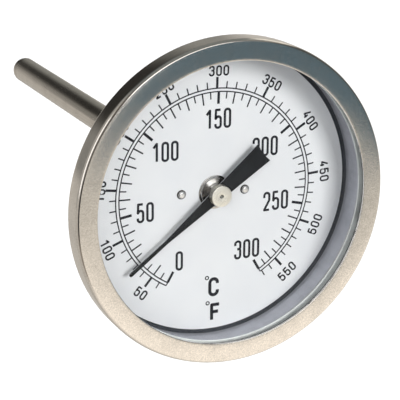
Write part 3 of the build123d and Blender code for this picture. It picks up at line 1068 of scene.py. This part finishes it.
# Strokes of each character in a box one wide and one high, as the corners (across, up, rounding)
# of a path, and whether it is closed.
ROUND = 0.47
GLYPHS = {
    "0": [([(0, 0, ROUND), (1, 0, ROUND), (1, 1, ROUND), (0, 1, ROUND)], True)],
    "1": [([(0.1, 0.76), (0.72, 1.0, 0.02), (0.72, 0.0)], False)],
    "2": [
        (
            [(0, 0.72), (0, 1, ROUND), (1, 1, ROUND), (1, 0.56, 0.3), (0, 0, 0.02), (1, 0)],
            False,
        )
    ],
    "3": [
        ([(0, 0.75), (0, 1, ROUND), (1, 1, ROUND), (1, 0.54, 0.35), (0.4, 0.54)], False),
        ([(0.4, 0.54), (1, 0.54, 0.35), (1, 0, ROUND), (0, 0, ROUND), (0, 0.25)], False),
    ],
    "4": [
        ([(0.62, 1), (0, 0.24, 0.02), (1, 0.24)], False),
        ([(0.74, 0.52), (0.74, 0)], False),
    ],
    "5": [
        (
            [
                (0.94, 1),
                (0.08, 1, 0.02),
                (0.02, 0.5, 0.02),
                (0.3, 0.63, 0.3),
                (1, 0.63, ROUND),
                (1, 0, ROUND),
                (0, 0, ROUND),
                (0, 0.22),
            ],
            False,
        )
    ],
    "C": [
        (
            [(1, 0.7), (1, 1, ROUND), (0, 1, ROUND), (0, 0, ROUND), (1, 0, ROUND), (1, 0.3)],
            False,
        )
    ],
    "F": [([(1, 1), (0, 1, 0.02), (0, 0)], False), ([(0, 0.53), (0.86, 0.53)], False)],
}
GLYPH_ARC_STEP = 15


def lettering(text, centre, height, width, gap, stroke, up=0.0):
    """Strips of a word centred on a dial point, its top turned to the clock angle up."""
    across = Vector((cos(up), -sin(up)))
    upward = Vector((sin(up), cos(up)))
    whole = len(text) * width + (len(text) - 1) * gap
    strips = []
    for i, letter in enumerate(text):
        left = i * (width + gap) - whole / 2 + stroke / 2
        bottom = -height / 2 + stroke / 2
        box_w, box_h = width - stroke, height - stroke
        for path, closed in GLYPHS[letter]:
            corners = []
            for right, above, *rounding in path:
                size = [share * box_w for share in rounding]
                corners.append((left + right * box_w, bottom + above * box_h, *size))
            points = []
            for p in rounded(corners, closed, step=GLYPH_ARC_STEP):
                points.append(centre + across * p.x + upward * p.y)
            strips.append((points, stroke, closed))
    return strips


DEGREE_R = 0.42
DEGREE_STROKE = 0.28
DEGREE_POINTS = 40


def degree_sign(centre):
    path = []
    for k in range(DEGREE_POINTS):
        a = FULL_TURN * k / DEGREE_POINTS
        path.append(centre + Vector((cos(a), sin(a))) * DEGREE_R)
    return path, DEGREE_STROKE, True


CELSIUS_PLACES = {  # centres on the dial
    "0": (-9.33, -16.52),
    "50": (-18.26, -2.97),
    "100": (-13.06, 11.55),
    "150": (0.75, 18.28),
    "200": (13.57, 10.0),
    "250": (16.79, -4.25),
    "300": (8.99, -15.88),
}
CELSIUS_TYPE = {"height": 5.0, "width": 1.98, "gap": 0.5, "stroke": 0.6}
strips = []
for text, place in CELSIUS_PLACES.items():
    strips += lettering(text, Vector(place), **CELSIUS_TYPE)
print_piece("numerals_celsius", strips)

FAHRENHEIT_PLACES = {  # (radius, degrees ahead of its tick)
    50: (30.5, -0.3),
    100: (30.17, -0.4),
    150: (29.86, -0.7),
    200: (30.15, -0.2),
    250: (30.0, 0.2),
    300: (30.08, 0.75),
    350: (29.98, 0.7),
    400: (30.17, 0.6),
    450: (30.35, 0.25),
    500: (30.6, -0.15),
    550: (31.2, 0.1),
}
FAHRENHEIT_TYPE = {"height": 2.6, "width": 1.52, "gap": 0.38, "stroke": 0.42}
OUTWARD_NUMERALS = (150, 450)  # from and to which the tops point away from the centre
strips = []
for degrees_f, (r, ahead) in FAHRENHEIT_PLACES.items():
    angle = dial_angle(celsius_from(degrees_f)) + radians(ahead)
    outward = OUTWARD_NUMERALS[0] <= degrees_f <= OUTWARD_NUMERALS[1]
    up = angle if outward else angle + pi
    strips += lettering(str(degrees_f), at(r, angle), up=up, **FAHRENHEIT_TYPE)
print_piece("numerals_fahrenheit", strips)

UNIT_TYPE = {"width": 2.9, "gap": 0, "stroke": 0.85}
UNITS = (  # letter, its centre, the degree sign's centre, height
    ("C", (0.0, -24.65), (-1.83, -22.1), 5.0),
    ("F", (0.55, -31.4), (-1.6, -28.8), 4.8),
)
strips = []
for letter, place, degree_place, height in UNITS:
    strips += lettering(letter, Vector(place), height, **UNIT_TYPE)
    strips.append(degree_sign(Vector(degree_place)))
print_piece("unit_letters", strips)

# ---------------------------------------------------------------- CAD nodes that stay
for node_name, key in {
    "dial_plate": "dial",
    "dial_posts": "brass",
    "front_bearing": "brass",
    "case_gasket": "rubber",
    "lock_washer": "screw",
    "clamp_nut": "brass",
    "shaft_guides": "plastic",
    "helix_anchor": "brass",
    "bimetal_helix": "bimetal",
    "helix_collar": "brass",
}.items():
    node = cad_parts[node_name]
    for i in range(len(node.data.materials)):
        node.data.materials[i] = MATERIALS[key]

# ---------------------------------------------------------------- floor, studio and camera
FLOOR_Z = -0.5
FLOOR_HALF = 9.0
FLOOR_CLOUDS = 3.0
FLOOR_CLOUD_RANGE = (0.3, 0.7)
FLOOR_LIGHT = (0.95, 0.95, 0.95)
FLOOR_DARK = (0.93, 0.93, 0.93)


def make_floor():
    """A pale floor that the metal doesn't mirror and that throws no light up at the dial."""
    bm = bmesh.new()
    corners = ((-1, -1), (1, -1), (1, 1), (-1, 1))
    bm.faces.new([bm.verts.new((x * FLOOR_HALF, y * FLOOR_HALF, FLOOR_Z)) for x, y in corners])
    floor = link_mesh("floor", bm)
    floor.visible_glossy = False
    floor.visible_diffuse = False

    def build(tree, place):
        tone = remap(tree, place.grain(FLOOR_CLOUDS, 2.0, 0.5), *FLOOR_CLOUD_RANGE)
        return {"Base Color": blend_colours(tree, tone, FLOOR_DARK, FLOOR_LIGHT)}

    floor.data.materials.append(
        material("floor_pale", build, **{"Roughness": 0.9, "Specular IOR Level": 0.0})
    )


make_floor()


def direction(azimuth, elevation):
    """Unit vector: azimuth 0 is -Y, 90 is +X; elevation is above the horizon, in degrees."""
    a, e = radians(azimuth), radians(elevation)
    return (sin(a) * cos(e), -cos(a) * cos(e), sin(e))


# What glossy surfaces see, drawn in this order: azimuth, elevation, roll, half width, half height
# and soft edge in degrees, then the colour.
AMBIENT = (0.575, 0.54, 0.49)
PANELS = (
    (0, 90, 0, 40, 40, 8, (0.225, 0.235, 0.225)),
    (168, 25, 0, 14, 28, 4, (0.29, 0.285, 0.26)),
    (-150, 48, 0, 22, 18, 8, (0.06, 0.067, 0.066)),
    (-168, 24, 0, 18, 18, 11, (0.035, 0.033, 0.03)),
    (-115, 20, 0, 14, 30, 8, (0.40, 0.39, 0.365)),
    (60, -62, 0, 60, 30, 10, (0.73, 0.685, 0.615)),
    (15, -62, 0, 40, 30, 10, (0.93, 0.85, 0.755)),
    (-40, -31, 0, 24, 10, 5, (0.32, 0.28, 0.235)),
    (-150, 4, 0, 10, 8, 4, (0.26, 0.25, 0.23)),
    (-38, 14, 0, 22, 38, 3, (0.15, 0.135, 0.12)),
    (-38, -12, 0, 20, 12, 4, (0.055, 0.05, 0.05)),
    (-76, 18, 0, 14.5, 20, 3.5, (0.95, 0.92, 0.90)),
    (-83, 18, 0, 7.5, 21, 2, (1.6, 1.55, 1.5)),
    (75, 16, 0, 41, 26, 5, (0.092, 0.096, 0.092)),
    (112, 45, -35, 16, 8.5, 3, (1.1, 1.05, 0.94)),
    (24, -38, 0, 35, 22, 2, (0.69, 0.645, 0.575)),
    (16, -38, 0, 27, 17.5, 2.5, (1.2, 1.1, 0.97)),
    (38, 18, 0, 9, 17, 3, (0.18, 0.185, 0.19)),
    (8.5, 15, 0, 18.5, 27, 1.5, (2.3, 2.25, 2.2)),
    (-6, 20, 18, 9, 22, 1.5, (2.3, 2.25, 2.2)),
    (35.3, -10.3, 5.8, 15.2, 5, 0.6, (0.115, 0.165, 0.195)),
)
FILL = (0.12, 0.122, 0.126)  # what diffuse surfaces get from all round
WHITE = (1.0, 1.0, 1.0)
WIDEST = 89.5  # degrees, just short of a half space
LEAST_DEPTH = 0.001  # directions behind the panel count as this far in front of it


def panel_share(tree, ray, azimuth, elevation, roll, wide, tall, soft):
    """1 inside a rectangle of directions and 0 outside it, with a soft edge."""
    centre = Vector(direction(azimuth, elevation))
    a = radians(azimuth)
    right = Vector((cos(a), sin(a), 0))
    up = centre.cross(right)
    lean = radians(roll)
    axes = (
        (right * cos(lean) + up * sin(lean), wide),
        (up * cos(lean) - right * sin(lean), tall),
    )
    ahead = add(tree, "VectorMath", {0: ray, 1: tuple(centre)}, operation="DOT_PRODUCT")
    depth = maths(tree, "MAXIMUM", ahead.outputs["Value"], LEAST_DEPTH)
    share = None
    for axis, half in axes:
        aside = add(tree, "VectorMath", {0: ray, 1: tuple(axis)}, operation="DOT_PRODUCT")
        off = maths(tree, "ABSOLUTE", maths(tree, "DIVIDE", aside.outputs["Value"], depth))
        outer = tan(radians(min(half + soft, WIDEST)))
        inner = tan(radians(half - soft))
        part = remap(tree, off, outer, inner, smooth=True)
        share = part if share is None else maths(tree, "MULTIPLY", share, part)
    return share


def make_world():
    """A studio seen by reflections as soft panels; the camera itself sees plain white."""
    world = bpy.data.worlds.new("studio")
    bpy.context.scene.world = world
    world.use_nodes = True
    tree = world.node_tree
    tree.nodes.clear()
    ray = add(tree, "TexCoord").outputs["Generated"]
    colour = AMBIENT
    for *place, tint in PANELS:
        colour = blend_colours(tree, panel_share(tree, ray, *place), colour, tint)
    path = add(tree, "LightPath")
    colour = blend_colours(tree, path.outputs["Is Glossy Ray"], FILL, colour)
    colour = blend_colours(tree, path.outputs["Is Camera Ray"], colour, WHITE)
    background = add(tree, "Background", {"Color": colour, "Strength": 1.0})
    output = add(tree, "OutputWorld")
    tree.links.new(background.outputs[0], output.inputs[0])


make_world()

# (azimuth, elevation, distance, size, watts, colour)
LAMPS = (
    (14, 15, 1.6, 0.6, 16.5, (1.0, 0.995, 0.985)),
    (-38, 17, 1.8, 1.2, 11.5, (0.98, 0.99, 1.0)),
    (10, -30, 1.6, 0.8, 3.2, (1.0, 0.99, 0.98)),
)


def place_lamp(name, kind, energy, azimuth, elevation, distance):
    """A lamp that shines at the origin and is not itself seen in reflections."""
    lamp_data = bpy.data.lights.new(name, kind)
    lamp_data.energy = energy
    lamp = bpy.data.objects.new(name, lamp_data)
    away = Vector(direction(azimuth, elevation))
    lamp.location = away * distance
    lamp.rotation_mode = "QUATERNION"
    lamp.rotation_quaternion = away.to_track_quat("Z", "Y")
    lamp.visible_glossy = False
    lamp.visible_camera = False
    bpy.context.scene.collection.objects.link(lamp)
    return lamp_data


for number, (azimuth, elevation, distance, size, watts, tint) in enumerate(LAMPS):
    soft_box = place_lamp(f"lamp_{number}", "AREA", watts, azimuth, elevation, distance)
    soft_box.size = size
    soft_box.color = tint
OVERHEAD_STRENGTH = 3.3
OVERHEAD_SPREAD = 30
OVERHEAD_PLACE = (0, 89, 2.0)  # azimuth, elevation, distance
overhead = place_lamp("lamp_overhead", "SUN", OVERHEAD_STRENGTH, *OVERHEAD_PLACE)
overhead.angle = radians(OVERHEAD_SPREAD)

CAMERA_RIGHT = (0.91005, -0.41445, 0.00687)
CAMERA_UP = (0.11906, 0.27724, 0.95340)
CAMERA_BACK = (-0.39704, -0.86681, 0.30165)
CAMERA_PLACE = (-0.15167, -0.33567, 0.11070)
CAMERA_LENS = 138.06
CAMERA_SENSOR = 36.0
CAMERA_CLIP = (0.01, 50.0)
camera_data = bpy.data.cameras.new("camera")
camera_data.lens = CAMERA_LENS
camera_data.sensor_width = CAMERA_SENSOR
camera_data.clip_start, camera_data.clip_end = CAMERA_CLIP
camera = bpy.data.objects.new("camera", camera_data)
camera_axes = Matrix((CAMERA_RIGHT, CAMERA_UP, CAMERA_BACK)).transposed()
camera.matrix_world = Matrix.Translation(CAMERA_PLACE) @ camera_axes.to_4x4()
bpy.context.scene.collection.objects.link(camera)
bpy.context.scene.camera = camera
bpy.context.scene.view_settings.view_transform = "Standard"
